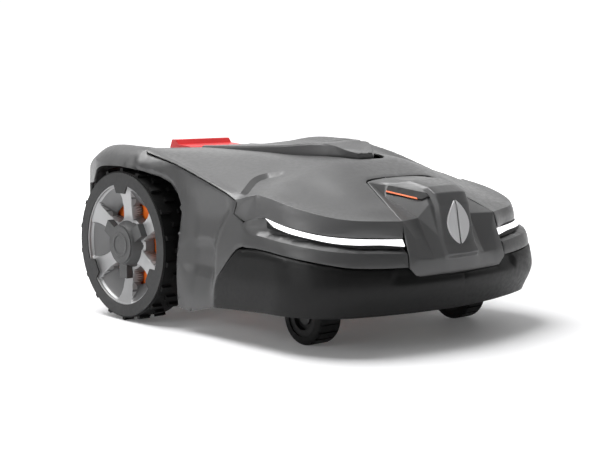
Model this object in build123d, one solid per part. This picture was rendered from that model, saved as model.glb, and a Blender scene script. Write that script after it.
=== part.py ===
"""Robotic lawn mower, built as an assembly of separate pieces.

Millimetres. The front of the mower faces -Y, its right side is -X, +Z is up.
The origin is on the ground, under the middle of the machine.
"""
import math
import os

from build123d import *

os.makedirs("parts", exist_ok=True)

# ---------------------------------------------------------------- driving sizes
REAR = 305.0                 # rear face of the shell
SKIN = 3.0                   # wall of the shell, the tub and the lid
BUMPER = 5.0                 # thickness of the soft bumper
SEAM = 0.8                   # gap between two shell panels

WHEEL_Y, WHEEL_Z = 119.0, 104.0      # drive wheel axis
WHEEL_IN, WHEEL_OUT = 175.0, 220.0   # inner and outer face of the tyre
TYRE_R = 100.0                       # tread face
CLEAT = 4.0                          # cleat height over the tread face
RIM_R = 86.0
SHAFT_R = 8.0
RUNNING = 0.05                       # radial clearance of a shaft in its bore

CASTER_X, CASTER_Y = 137.0, -174.0
CASTER_R = 35.0
CASTER_W = 37.0
TRAIL = 22.0                         # the swivel axis is this far ahead of the axle
SWIVEL_Y = CASTER_Y - TRAIL

DISC_Y = -10.0                       # cutting axis
DISC_R = 94.0
BLADE_PIVOT_R = 84.0
BLADE_TIP_R = 110.0                  # half of the cutting width
SCREW_Y = -66.0                      # height adjustment screw

COLUMNS = [(100, -212), (144, 214)]   # plan positions of the columns the shell floats on

# Half width of the hatch along its length: (y, half width).
HATCH_PLAN = [(-128, 13), (-118, 26), (-78, 46), (-40, 53), (110, 53), (160, 50), (170, 42)]
HATCH_GAP = 10.5

# Cross sections of the shell top: y, then the height at each of TOP_X.
TOP_X = (0, 50, 100, 150, 190, 222)
TOP_SECTIONS = [
    (-312, 150, 150, 150, 150, 146, 142),
    (-278, 161, 161, 161, 160, 155, 150),
    (-235, 179, 178, 177, 172, 162, 154),
    (-205, 196, 194, 190, 184, 172, 162),
    (-178, 209, 206, 201, 195, 179, 168),
    (-137, 226, 223, 208, 204, 186, 176),
    (-105, 229, 226, 213, 207, 189, 179),
    (-80, 230, 227, 216.5, 204, 191, 182),
    (-45, 230, 228, 221, 210, 200, 191),
    (0, 229.5, 229, 227.5, 218, 211, 203),
    (40, 229.5, 229.5, 230.5, 226, 222, 212),
    (75, 230, 230, 231.5, 231, 231, 216),
    (105, 231, 231, 232, 234, 236, 215),
    (140, 231, 231, 231, 234, 238, 214),
    (165, 230, 230, 229, 231, 235, 211),
    (190, 228, 228, 226, 225, 225, 202),
    (215, 225, 224, 221, 215, 208, 188),
    (245, 218, 217, 212, 200, 190, 172),
    (280, 205, 204, 197, 182, 170, 154),
    (312, 190, 189, 182, 168, 155, 142),
]

# Plan outline of the shell wall at several heights: z, front y, side x, flank x.
# The side is ahead of the wheel at headlight level, the flank is just behind it.
WALL_LEVELS = [
    (20, -283, 210, 211),
    (46, -289, 212, 213),
    (78, -303, 215, 213),
    (104, -300, 213, 212),
    (124, -296, 210, 211),
    (140, -283, 203, 208),
    (160, -277, 198, 206),
    (250, -272, 195, 203),
]
FRONT_ARC_R = 497.0
CORNER_R = 90.0

# Side views (y, z) of the edges on the shell.
WHEEL_ARCH = [
    (9, 31), (6, 104), (3, 163), (12, 179), (26, 193), (69, 204.5), (114, 212), (165, 209.5),
    (184, 203), (194, 193), (205, 186),
]
BUMPER_TOP = [
    (-73, 42), (-79, 72), (-96, 95), (-117, 117), (-130, 123.5), (-184, 122), (-223, 117.6),
    (-246, 113.8), (-268, 108.6), (-291, 104), (-315, 102),
]
LIGHT_TOP = [(-154, 161), (-195, 153), (-230, 146), (-254, 142), (-274, 137.5), (-290, 135.5)]
LIGHT_LOW = [(-290, 125), (-275, 127.5), (-246, 134.7), (-222, 139.7), (-197, 144), (-160, 148.5)]
COVER_SEAM = [(-315, 132)] + LIGHT_TOP[::-1] + [
    (-124, 154), (-100, 164), (-108, 179), (-84, 188), (-42, 201), (19, 218), (94, 229), (97, 236),
]


# ---------------------------------------------------------------- small helpers
def block(x, y, z):
    """A box between (low, high) pairs on the three axes."""
    box = Box(x[1] - x[0], y[1] - y[0], z[1] - z[0])
    return Pos((x[0] + x[1]) / 2, (y[0] + y[1]) / 2, (z[0] + z[1]) / 2) * box


def rod_z(radius, z, x, y):
    """An upright cylinder from z[0] to z[1]."""
    return Pos(x, y, (z[0] + z[1]) / 2) * Cylinder(radius, z[1] - z[0])


def rod_x(radius, x, y, z):
    """A cylinder along X from x[0] to x[1]."""
    return Pos((x[0] + x[1]) / 2, y, z) * Rot(0, 90, 0) * Cylinder(radius, x[1] - x[0])


def prism_x(points, x):
    """A (y, z) polygon drawn out along X from x[0] to x[1]."""
    face = make_face(Polyline(*points, close=True))
    return extrude(Plane.YZ.offset(x[0]) * face, x[1] - x[0])


def prism_z(points, z):
    """An (x, y) polygon drawn out along Z from z[0] to z[1]."""
    face = make_face(Polyline(*points, close=True))
    return extrude(Plane.XY.offset(z[0]) * face, z[1] - z[0])


def both_sides(shape):
    """The shape and its mirror image across the middle of the machine."""
    return shape + mirror(shape, about=Plane.YZ)


def on_circle(shape, count, axis, start=0.0):
    """Copies of a shape turned about an axis, fused together."""
    copies = [shape.rotate(axis, start + 360 * i / count) for i in range(count)]
    return copies[0].fuse(*copies[1:])


def save(shape, name):
    """Write one node."""
    export_step(shape, f"parts/{name}.step")


# ---------------------------------------------------------------- shell envelope
def wall_outline(z, front, side, flank, inset):
    """Plan outline of the shell at one height, moved inwards by inset."""
    centre_y = front + FRONT_ARC_R
    corner_x = side - CORNER_R
    corner_y = centre_y - math.sqrt((FRONT_ARC_R - CORNER_R) ** 2 - corner_x ** 2)
    turn = math.atan2(corner_x, centre_y - corner_y)
    arc_r = FRONT_ARC_R - inset
    join = (arc_r * math.sin(turn), centre_y - arc_r * math.cos(turn))
    corner_r = CORNER_R - inset
    half = (turn + math.pi / 2) / 2
    middle = (corner_x + corner_r * math.sin(half), corner_y - corner_r * math.cos(half))
    side_x = side - inset
    flank_x = flank - inset
    fender_x = 222 - inset
    nose = ThreePointArc((-join[0], join[1]), (0, front + inset), join)
    flank_points = [
        (side_x, corner_y), (side_x, -150), (flank_x, -108), (flank_x, 0), (fender_x, 60),
        (fender_x, 155), (211 - inset, 196), (200 - inset, 218),
    ]
    tail = (173 - 0.7 * inset, 268 - 0.7 * inset)
    last = (116, REAR - inset)

    def half_wall(sign):
        corner = ThreePointArc(
            (sign * join[0], join[1]), (sign * middle[0], middle[1]), (sign * side_x, corner_y)
        )
        sides = Polyline(*[(sign * x, y) for x, y in flank_points])
        rear_corner = ThreePointArc(
            (sign * flank_points[-1][0], flank_points[-1][1]),
            (sign * tail[0], tail[1]),
            (sign * last[0], last[1]),
        )
        return [*corner.edges(), *sides.edges(), *rear_corner.edges()]

    rear = Line((-last[0], last[1]), last)
    edges = [*nose.edges(), *half_wall(1), *half_wall(-1), *rear.edges()]
    return Plane.XY.offset(z) * make_face(edges)


def wall_solid(inset):
    """The space inside the shell's side walls, moved inwards by inset."""
    levels = [wall_outline(z, front, side, flank, inset) for z, front, side, flank in WALL_LEVELS]
    return loft(levels, ruled=True)


def top_solid(drop):
    """The space under the shell's top surface, lowered by drop."""
    faces = []
    for y, *heights in TOP_SECTIONS:
        right = [(x, y, h - drop) for x, h in zip(TOP_X, heights)]
        left = [(-x, y, z) for x, y, z in right[:0:-1]]
        top = Spline(*(left + right))
        low = Polyline(right[-1], (TOP_X[-1], y, 10), (-TOP_X[-1], y, 10), left[0])
        faces.append(make_face([*top.edges(), *low.edges()]))
    return loft(faces)


def envelope(inset):
    """The shell's outer form, moved inwards by inset on its walls and its top."""
    return wall_solid(inset) & top_solid(inset)


def hatch_outline(grow=0.0):
    """Plan polygon of the hatch, grown outwards by a gap."""
    points = []
    for i, (y, half) in enumerate(HATCH_PLAN):
        end = {0: -grow, len(HATCH_PLAN) - 1: grow}.get(i, 0)
        points.append((half + grow, y + end))
    return points + [(-x, y) for x, y in reversed(points)]


# ---------------------------------------------------------------- shell panels
outer = envelope(0)
inner = envelope(SKIN)
behind_bumper = envelope(BUMPER + 0.3)
inside_bumper = envelope(BUMPER + 0.3 + SKIN)

# The bumper wraps the front below the headlights and is notched under the nose.
bumper_side = BUMPER_TOP + [(-315, 45), (-240, 47), (-177, 47), (-120, 44)]
bumper_zone = prism_x(bumper_side, (-240, 240)) - block((-78, 78), (-320, -240), (92, 140))
front_bumper = (outer - envelope(BUMPER)) & bumper_zone
save(front_bumper, "front_bumper")

# The nose stands proud of the front slope and carries the badge.
nose_side = [
    (-183, 190), (-206, 204), (-236, 202), (-273, 191), (-281, 186), (-297, 118), (-297, 94),
    (-240, 94), (-240, 150),
]
nose_core = [
    (-183, 186), (-206, 200), (-236, 198), (-271, 188), (-277, 183), (-293, 118), (-291, 88),
    (-230, 88), (-230, 150),
]
nose = prism_x(nose_side, (-38, 38))
nose_hollow = prism_x(nose_core, (-34, 34))
badge = prism_x([(-284.5, 180), (-286, 181), (-297.5, 127), (-296, 125)], (-23, 23))
vent_side = [(-213, 189), (-218, 195), (-266, 188), (-268, 182)]
vents = both_sides(prism_x(vent_side, (38.2, 42)))
vent_strip_side = [(-218, 190), (-219, 192.5), (-260, 186.5), (-260, 184)]
vent_strips = both_sides(prism_x(vent_strip_side, (42, 43.5)))

# Headlight strips run along the brow from the nose to the corners.
light_window = both_sides(prism_x(LIGHT_TOP + LIGHT_LOW, (89, 240)))
gap_side = [(y, z + 1) for y, z in LIGHT_TOP] + [(y, z - 1) for y, z in LIGHT_LOW]
light_gap = both_sides(prism_x(gap_side, (88, 240)))
lenses = (outer - envelope(2)) & light_window
reflectors = (envelope(2.2) - envelope(5)) & light_window

# The top cover is the hood above the seam, around the nose and the hatch.
COVER_BACK = [(103, 200), (300, 200), (300, 260), (-315, 260)]
cover_side = prism_x(COVER_SEAM + COVER_BACK, (-240, 240))
rear_seam = [(-206, 98), (-150, 130), (-108, 250), (108, 250), (150, 130), (206, 98)]
cover_plan = prism_z([(240, 98), (240, -320), (-240, -320), (-240, 98)] + rear_seam, (100, 260))
cover_zone = cover_side & cover_plan
nose_plan = prism_z([(-56, -182), (-84, -320), (84, -320), (56, -182)], (80, 260))
cover_zone = cover_zone - nose_plan
hatch_hole = prism_z(hatch_outline(HATCH_GAP), (200, 260)) + block((-64, 64), (150, 247), (200, 260))

skin = outer - inner
front_posts = both_sides(rod_z(6, (162.6, 185), *COLUMNS[0])) & inner
arch_side = [(9, 0)] + WHEEL_ARCH + [(330, 178), (330, 0)]
arches = both_sides(prism_x(arch_side, (166, 240)))
top_cover = (skin & cover_zone) - hatch_hole - light_gap - arches + front_posts
save(top_cover, "top_cover")

# What is left of the skin is the body shell, stepped in behind the bumper.
under_side = [
    (-330, 50), (-200, 51), (-120, 47), (-73, 43), (-23, 29.6), (9, 31), (9, -10), (-330, -10),
]
under_rear = prism_x([(8, -10), (9, 60), (330, 60), (330, -10)], (-240, 240))
step_zone = prism_x(
    [(-330, 127), (-127, 127), (-112, 121), (-92, 98), (-75, 74), (-69, 36), (-330, 36)], (-240, 240)
)
body_cavity = inner - step_zone + (inside_bumper & step_zone)
body_solid = outer - ((outer - behind_bumper) & bumper_zone)
seam_side = [(y, z - SEAM) for y, z in COVER_SEAM] + COVER_BACK
cover_room = cover_zone + ((prism_x(seam_side, (-240, 240)) & cover_plan) - nose_plan)
rear_posts = both_sides(rod_z(6, (162.6, 236), *COLUMNS[1])) & inner
body_shell = body_solid - body_cavity - cover_room - hatch_hole - light_gap
body_shell = body_shell + rear_posts + (nose - nose_hollow)
body_shell = body_shell - prism_x(under_side, (-240, 240)) - under_rear - arches
body_shell = body_shell - front_bumper - badge - vents - vent_strips
save(body_shell, "body_shell")
save(badge, "nose_badge")
save(vents, "nose_vents")
save(vent_strips, "nose_vent_strips")
save(lenses, "headlight_lenses")
save(reflectors, "headlight_reflectors")


# ---------------------------------------------------------------- chassis
TUB_X, TUB_FRONT, TUB_REAR = 158.0, -100.0, 272.0
TUB_LOW, TUB_TOP = 66.0, 126.0
LID_X = 112.0
CONSOLE_Z = 218.0                    # top of the console tower
STOP_Y = 208.0
WELL_R = 46.0                        # well the cutting carriage slides in
SOCKET_R = 15.0

tub = block((-TUB_X, TUB_X), (TUB_FRONT, TUB_REAR), (TUB_LOW, TUB_TOP))
tub = tub - block((-TUB_X + SKIN, TUB_X - SKIN), (TUB_FRONT + SKIN, TUB_REAR - SKIN), (69, 123))
tub = tub - block((-LID_X + SKIN, LID_X - SKIN), (TUB_FRONT + SKIN, TUB_REAR - 13), (120, 130))
keel = block((-62, 62), (-232, -100), (TUB_LOW, 96)) - block((-59, 59), (-229, -90), (69, 96))
deck = block((-160, 160), (-228, -97), (96, TUB_TOP)) - block((-157, 157), (-225, -90), (99, 123))
deck = deck - block((-59, 59), (-225, -90), (90, 100))
deck_mouth = block((-110, 110), (-102, -95), (99, 123))
sockets = both_sides(rod_z(SOCKET_R, (92, 150), CASTER_X, SWIVEL_Y))
well = rod_z(WELL_R + SKIN, (TUB_LOW, 123), 0, DISC_Y) - rod_z(WELL_R, (60, 130), 0, DISC_Y)
well_slot = block((-12, 12), (-62, -48), (69, 130))
tub = (tub - block((-59, 59), (-102, -95), (69, 99)) - deck_mouth) + keel + deck + sockets
tub = tub + (well - well_slot) - rod_z(WELL_R, (60, 72), 0, DISC_Y)
tub = tub - both_sides(rod_z(SHAFT_R + RUNNING, (80, 146.5), CASTER_X, SWIVEL_Y))
tub = tub - both_sides(rod_x(SHAFT_R + RUNNING, (150, 165), WHEEL_Y, WHEEL_Z))
lug_room = block((-14, 14), (-78, -50), (69, 123))
tub = tub - (lug_room - block((-70, 70), (-101, -96), (60, 130)) - well)
save(tub, "chassis_tub")

gasket = block((-LID_X, LID_X), (-185, 262), (TUB_TOP, 128))
gasket = gasket - block((-LID_X + 4, LID_X - 4), (-181, 258), (125, 129))
save(gasket, "chassis_gasket")

lid_side = [(-185, 128), (-185, 158), (-125, 186), (235, 186), (262, 165), (262, 128)]
lid_core = [(-182, 120), (-182, 156), (-124.3, 183), (234, 183), (259, 163.5), (259, 120)]
lid = prism_x(lid_side, (-LID_X, LID_X)) - prism_x(lid_core, (-LID_X + SKIN, LID_X - SKIN))
tower = block((-46, 46), (-94, 242), (186, CONSOLE_Z)) - block((-43, 43), (-91, 230), (180, 203))
tower = tower - block((-42, 42), (-76, 155), (CONSOLE_Z - 8, 230))
tower = tower - block((-50, 50), (174, 250), (206, 230))
save(lid - block((-43, 43), (-91, 230), (180, 187)), "chassis_lid")
save(tower - rod_z(5, (190, 220), 0, STOP_Y), "console_tower")

battery = block((-70, 70), (188, 256), (69, 118))
save(battery + block((-10, 10), (180, 188), (90, 105)), "battery_pack")
board = block((-55, 55), (70, 185), (156, 158)) + block((-20, 20), (90, 120), (151, 156))
board_posts = [rod_z(3, (158, 183), sx * 50, y) for sx in (-1, 1) for y in (76, 179)]
save(board.fuse(*board_posts), "main_board")

gearbox = block((100, 154.5), (WHEEL_Y - 19, WHEEL_Y + 25), (WHEEL_Z - 19, WHEEL_Z + 15))
gearbox = gearbox - rod_x(SHAFT_R + RUNNING, (140, 160), WHEEL_Y, WHEEL_Z)
gearbox = gearbox + block((104, 140), (WHEEL_Y - 17, WHEEL_Y + 23), (69, WHEEL_Z - 19))
motor = gearbox + rod_x(17, (30, 100), WHEEL_Y + 3, WHEEL_Z - 2)
save(motor, "drive_motor_left")
save(mirror(motor, about=Plane.YZ), "drive_motor_right")

contacts = both_sides(block((18, 34), (-228, -198), (64.5, 66)))
save(contacts, "charging_contacts")

columns = [rod_z(5, (TUB_TOP, 147), x, y) + rod_z(11, (147, 150), x, y) for x, y in COLUMNS]
save(both_sides(columns[0] + columns[1]), "suspension_columns")

screws = [rod_z(4.5, (63.5, TUB_LOW), x, y) for x in (70, 140) for y in (-85, 60, 160, 258)]
save(both_sides(screws[0].fuse(*screws[1:])), "chassis_screws")

height_motor = rod_z(14, (152, 172), 0, SCREW_Y)
height_motor = height_motor + block((-16, 16), (SCREW_Y - 16, SCREW_Y + 16), (172, 176))
height_motor = height_motor + block((-10, 10), (SCREW_Y - 10, SCREW_Y + 10), (176, 183))
save(height_motor, "height_motor")

# The keypad panel sits in the top of the lid's tower.
HINGE_Y, HINGE_Z = -98.0, 223.0
HINGE_PIN = 2.0
DIAL_Y, KEY_Y = 74.0, 118.0
PANEL_Z = CONSOLE_Z - 8
panel = block((-42, 42), (-76, 155), (PANEL_Z, PANEL_Z + 4))
panel = panel - block((-25, 25), (-20, 30), (PANEL_Z + 2.5, PANEL_Z + 5))
panel = panel - rod_z(4 + RUNNING, (PANEL_Z - 1, PANEL_Z + 5), 0, DIAL_Y)
panel = panel - both_sides(rod_z(8.3, (PANEL_Z - 1, PANEL_Z + 5), 22, KEY_Y))
ear_side = [
    (HINGE_Y - 4, 219), (HINGE_Y - 4, 226), (HINGE_Y + 4, 226), (-76, 220), (-74, 218), (-94, 218),
]
ears = both_sides(prism_x(ear_side, (20, 24)))
panel = panel + ears + block((-26, 26), (-94, -74), (CONSOLE_Z, CONSOLE_Z + 1))
panel = panel + block((-24, 24), (-76, -66), (PANEL_Z + 4, CONSOLE_Z + 1))
panel = panel + rod_x(HINGE_PIN, (-22, 22), HINGE_Y, HINGE_Z)
save(panel, "console_housing")
save(block((-24, 24), (-19, 29), (PANEL_Z + 2.5, PANEL_Z + 4.5)), "display")


# ---------------------------------------------------------------- floating mount of the shell
PUCK_R = 9.0
lower_pucks = [rod_z(PUCK_R, (150.3, 156), x, y) for x, y in COLUMNS]
upper_pucks = [rod_z(PUCK_R, (156.3, 162), x, y) for x, y in COLUMNS]
save(both_sides(lower_pucks[0] + lower_pucks[1]), "float_pucks_lower")
save(both_sides(upper_pucks[0] + upper_pucks[1]), "float_pucks_upper")


# ---------------------------------------------------------------- console controls
HATCH_LOW, HATCH_TOP = 221.0, 231.0
hatch = prism_z(hatch_outline(), (HATCH_LOW, HATCH_TOP))
hatch = hatch - prism_z(hatch_outline(-2.5), (HATCH_LOW - 1, HATCH_TOP - 3))
# A raised wing runs along each side: (y, outer x, crest height).
WINGS = [(-124, 17, 232), (-110, 31, 240), (-80, 44, 244), (-40, 51, 242), (60, 51, 237), (140, 49, 232.5)]


def wing_section(y, x, crest):
    """Triangular section of a hatch wing."""
    points = [(x + 1, HATCH_TOP - 2), (x - 1, crest), (x - 14, HATCH_TOP - 2)]
    return make_face(Polyline(*[(px, y, pz) for px, pz in points], close=True))


wings = both_sides(loft([wing_section(*w) for w in WINGS], ruled=True))
barrel = rod_x(4.5, (-18, 18), HINGE_Y, HINGE_Z)
barrel = barrel + block((-18, 18), (HINGE_Y - 3, HINGE_Y + 3), (HINGE_Z + 2, HATCH_TOP - 2))
barrel = barrel - rod_x(HINGE_PIN + RUNNING, (-20, 20), HINGE_Y, HINGE_Z)
ear_room = both_sides(block((19.5, 24.5), (HINGE_Y - 5, -60), (217, 227.2)))
hatch = hatch + wings - ear_room - rod_x(2.6, (-23, 23), HINGE_Y, HINGE_Z) + barrel
save(hatch, "hatch")

button_side = [
    (182, 212), (182, 226), (188, 229), (216, 231), (222, 238), (231, 238), (236, 226), (236, 212),
]
stop = prism_x(button_side, (-51, 51))
stop = fillet(stop.edges().filter_by(Axis.X).group_by(Axis.Z)[-1], 2)
save(stop + rod_z(4.9, (196, 213), 0, STOP_Y), "stop_button")

dial = rod_z(18, (PANEL_Z + 5, PANEL_Z + 11), 0, DIAL_Y)
dial = dial + rod_z(4, (PANEL_Z + 0.3, PANEL_Z + 5), 0, DIAL_Y)
grip = Pos(18, DIAL_Y, PANEL_Z + 8) * Box(2, 2.4, 6)
save(dial + on_circle(grip, 24, Axis((0, DIAL_Y, 0), (0, 0, 1))), "jog_wheel")
save(rod_z(8, (PANEL_Z + 1.8, PANEL_Z + 8), 22, KEY_Y), "start_button")
save(rod_z(8, (PANEL_Z + 1.8, PANEL_Z + 8), -22, KEY_Y), "park_button")


# ---------------------------------------------------------------- cutting unit
carriage = rod_z(44, (62, 128), 0, DISC_Y) - rod_z(38, (66, 130), 0, DISC_Y)
lug = block((-8, 8), (SCREW_Y - 8, DISC_Y - 40), (108, 120))
carriage = carriage + lug - rod_z(38, (66, 130), 0, DISC_Y)
carriage = carriage - rod_z(5 + RUNNING, (100, 125), 0, SCREW_Y)
carriage = carriage - rod_z(5 + RUNNING, (60, 68), 0, DISC_Y)
save(carriage, "cutting_carriage")
save(rod_z(38, (68, 118), 0, DISC_Y) + rod_z(20, (118, 124), 0, DISC_Y), "cutting_motor")
save(rod_z(5, (72, 150), 0, SCREW_Y) + rod_z(9, (150, 151.7), 0, SCREW_Y), "height_screw")

disc_axis = Axis((0, DISC_Y, 0), (0, 0, 1))
disc = rod_z(DISC_R, (51, 54), 0, DISC_Y)
disc = disc + rod_z(DISC_R, (54, 59), 0, DISC_Y) - rod_z(DISC_R - 3, (54, 60), 0, DISC_Y)
disc = disc - on_circle(rod_z(9, (50, 55), 58, DISC_Y), 6, disc_axis, 30)
disc = disc + rod_z(16, (54, 60), 0, DISC_Y) + rod_z(5, (60, 67.5), 0, DISC_Y)
disc = disc + rod_z(6, (40, 51), 0, DISC_Y)
disc = disc - on_circle(rod_z(2.5, (50, 55), BLADE_PIVOT_R, DISC_Y), 3, disc_axis, 90)
save(disc, "cutting_disc")

blade = block((BLADE_PIVOT_R - 9, BLADE_TIP_R), (DISC_Y - 9, DISC_Y + 9), (49.6, 50.4))
blade = chamfer(blade.edges().filter_by(Axis.Z), 3)
blade = blade - rod_z(2.5 + RUNNING, (49, 51), BLADE_PIVOT_R, DISC_Y)
pivot = rod_z(2.5, (49, 54.5), BLADE_PIVOT_R, DISC_Y) + rod_z(5, (46.5, 49.3), BLADE_PIVOT_R, DISC_Y)
for i in range(3):
    save(blade.rotate(disc_axis, 90 + 120 * i), f"blade_{i + 1}")
save(on_circle(pivot, 3, disc_axis, 90), "blade_screws")

skid = rod_z(75, (38, 42), 0, DISC_Y) + rod_z(12, (42, 48), 0, DISC_Y)
skid = skid - rod_z(6 + RUNNING, (39.7, 50), 0, DISC_Y)
save(fillet(skid.edges().group_by(Axis.Z)[0], 2), "skid_plate")


# ---------------------------------------------------------------- drive wheels
wheel_axis = Axis((0, WHEEL_Y, WHEEL_Z), (1, 0, 0))


def at_angle(shape, degrees):
    """A piece drawn straight up from the axle, turned to an angle counted from the front."""
    return shape.rotate(wheel_axis, 90 - degrees)


def ring_x(outer_r, inner_r, x):
    """A plain ring around the drive wheel axis."""
    ring = rod_x(outer_r, x, WHEEL_Y, WHEEL_Z)
    return ring - rod_x(inner_r, (x[0] - 1, x[1] + 1), WHEEL_Y, WHEEL_Z)


tyre = ring_x(TYRE_R, RIM_R, (WHEEL_IN, WHEEL_OUT))
rows = []
for row, x in enumerate([(176, 191), (190, 205), (204, 219)]):
    cleat = block(x, (WHEEL_Y - 3, WHEEL_Y + 3), (WHEEL_Z + TYRE_R - 1, WHEEL_Z + TYRE_R + CLEAT))
    rows += [cleat.rotate(wheel_axis, 20 * i + 10 * (row % 2)) for i in range(18)]
tyre = tyre.fuse(*rows)

rim_profile = [
    (175.5, 86), (218.5, 86), (218.5, 84), (201, 37), (201, 8), (194, 8), (194, 37), (206, 82),
    (175.5, 82),
]
rim_face = make_face(Polyline(*[(x, 0, r) for x, r in rim_profile], close=True))
rim = Pos(0, WHEEL_Y, WHEEL_Z) * revolve(rim_face, Axis.X)
window_points = [(-7, 42), (7, 42), (21, 61), (21, 75), (-21, 75), (-21, 61)]
window = prism_x([(WHEEL_Y + a, WHEEL_Z + b) for a, b in window_points], (185, 225))
rim = rim - on_circle(window, 6, wheel_axis, 30)

tab_points = [(-17, 84), (-10, 70), (10, 70), (17, 84)]
trim_tab = prism_x([(WHEEL_Y + a, WHEEL_Z + b) for a, b in tab_points], (220, 222))
trim = ring_x(98, 82, (220, 222)).fuse(*[at_angle(trim_tab, a) for a in (90, -30, 210)])
trim = trim + ring_x(86, 84, (218.5, 220.5))

cap_base = Pos(0, WHEEL_Y, WHEEL_Z) * Rot(0, 90, 0) * Pos(0, 0, 211.5) * Cone(36, 27, 21)
arm = block((205, 219), (WHEEL_Y - 9, WHEEL_Y + 9), (WHEEL_Z + 20, WHEEL_Z + 46))
cap = cap_base.fuse(*[at_angle(arm, a) for a in (150, 30, -90)])
cap = cap + rod_x(25, (221, 223.5), WHEEL_Y, WHEEL_Z)

backing = ring_x(80, SHAFT_R, (181, 184)) + ring_x(20, SHAFT_R, (184, 194))
shaft = rod_x(SHAFT_R, (146, 201), WHEEL_Y, WHEEL_Z) + ring_x(14, SHAFT_R - 1, (160, 181))
wheel_nodes = {
    "wheel_tyre": tyre, "wheel_rim": rim, "wheel_trim": trim,
    "wheel_cap": cap, "wheel_disc": backing, "drive_shaft": shaft,
}
for name, shape in wheel_nodes.items():
    save(shape, f"{name}_left")
    save(mirror(shape, about=Plane.YZ), f"{name}_right")


# ---------------------------------------------------------------- front casters
half_w = CASTER_W / 2
x_in, x_out = CASTER_X - half_w, CASTER_X + half_w
fork = rod_z(SHAFT_R, (88, 145), CASTER_X, SWIVEL_Y) + rod_z(24, (84, 91), CASTER_X, SWIVEL_Y)
fork = fork + block((x_in - 9, CASTER_X), (CASTER_Y - 13, CASTER_Y + 10), (84, 91))
fork = fork + block((x_in - 9, x_in - 2), (CASTER_Y - 13, CASTER_Y + 10), (CASTER_R, 86))
fork = fork + rod_x(11.5, (x_in - 9, x_in - 2), CASTER_Y - 1.5, CASTER_R)
fork = fork - rod_x(5, (x_in - 12, x_in + 2), CASTER_Y, CASTER_R)

tyre_solid = rod_x(CASTER_R, (x_in, x_out), CASTER_Y, CASTER_R)
tyre_solid = fillet(tyre_solid.edges().filter_by(GeomType.CIRCLE), 6)
caster_tyre = tyre_solid - rod_x(24, (x_in - 2, x_out + 2), CASTER_Y, CASTER_R)
caster_axis = Axis((0, CASTER_Y, CASTER_R), (1, 0, 0))
groove_y = (CASTER_Y - 1.2, CASTER_Y + 1.2)
groove = block((x_in - 1, x_out + 1), groove_y, (CASTER_R * 2 - 2, CASTER_R * 2 + 2))
caster_tyre = caster_tyre - on_circle(groove, 20, caster_axis, 9)
hub = rod_x(24, (x_in, x_out - 2), CASTER_Y, CASTER_R)
hub = hub - rod_x(16, (x_out - 8, x_out), CASTER_Y, CASTER_R)
hub = hub - rod_x(5 + RUNNING, (x_in - 2, x_out), CASTER_Y, CASTER_R)
axle = rod_x(5, (x_in - 9, x_out - 7.5), CASTER_Y, CASTER_R)
axle = axle + rod_x(9, (x_out - 7.5, x_out - 5), CASTER_Y, CASTER_R)
axle = axle + rod_x(8, (x_in - 12, x_in - 9), CASTER_Y, CASTER_R)
caster_nodes = {
    "caster_fork": fork, "caster_tyre": caster_tyre, "caster_hub": hub, "caster_axle": axle,
}
for name, shape in caster_nodes.items():
    save(shape, f"{name}_left")
    save(mirror(shape, about=Plane.YZ), f"{name}_right")
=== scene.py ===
"""A robotic lawn mower: moulded shell panels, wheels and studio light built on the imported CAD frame."""

import math

import bmesh
import bpy
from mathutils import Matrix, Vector
from mathutils.geometry import delaunay_2d_cdt


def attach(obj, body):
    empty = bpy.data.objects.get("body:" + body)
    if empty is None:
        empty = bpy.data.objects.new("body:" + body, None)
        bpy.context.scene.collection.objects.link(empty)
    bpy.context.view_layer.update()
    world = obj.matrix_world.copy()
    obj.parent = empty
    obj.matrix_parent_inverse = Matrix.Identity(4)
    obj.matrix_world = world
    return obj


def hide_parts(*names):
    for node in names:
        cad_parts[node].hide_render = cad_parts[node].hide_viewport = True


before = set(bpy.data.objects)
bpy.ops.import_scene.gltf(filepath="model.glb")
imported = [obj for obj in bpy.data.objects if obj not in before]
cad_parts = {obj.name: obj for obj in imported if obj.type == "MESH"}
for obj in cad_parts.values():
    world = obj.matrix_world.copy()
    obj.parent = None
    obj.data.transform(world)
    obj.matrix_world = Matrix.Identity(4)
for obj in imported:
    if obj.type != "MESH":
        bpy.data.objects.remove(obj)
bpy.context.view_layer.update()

# ---------------------------------------------------------------- sizes in millimetres, front at -Y
MM = 0.001
FRONT_ARC_R = 497.0
CORNER_R = 90.0
REAR = 305.0
WHEEL_Y, WHEEL_Z = 119.0, 104.0
WHEEL_FACE = 220.0
# How much of the distance round the wall lies on the front arc and on the corner arc.
ARC_SPAN = 125.0
CORNER_SPAN = 120.0

# Plan of the front and side walls at several heights: z, front y, side x.
WALLS = [
    (20, -283, 210), (46, -289, 212), (78, -303, 215), (104, -300, 213), (124, -296, 210),
    (140, -286, 204), (160, -277, 199), (200, -273, 196), (250, -272, 194),
]

# Edges on the front and the corner, as points x, y, z of one side.
BUMPER_SEAM = [
    (90, -294, 104), (128, -282, 105.4), (168, -268, 108.6), (192, -246, 113.8), (206, -223, 117.6),
    (212, -184, 122), (212, -147, 124), (212, -130, 123),
]
LEDGE_EDGE = [
    (85, -288, 120), (125, -279, 122.5), (159, -268, 124.8), (183, -249, 127.8), (203, -213, 132.8),
    (207, -171, 137), (207, -130, 141.8), (208, -112, 146),
]
LIGHT_LOW = [
    (86, -277, 127), (117, -271, 130.5), (147, -262, 132), (171, -246, 134.7), (189, -222, 139.7),
    (198, -197, 144), (200, -170, 148),
]
LIGHT_TOP = [
    (85.5, -283, 137.5), (115, -269, 139), (156, -254, 142), (181, -230, 146), (196.5, -195, 153),
    (198, -154.5, 161),
]
RIM = [
    (85, -276.5, 158), (109, -268, 159), (141, -258, 161), (162, -243, 164), (178, -218, 170),
    (188, -185, 177.5), (189.5, -156, 183.5), (190.5, -133, 187),
]


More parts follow.
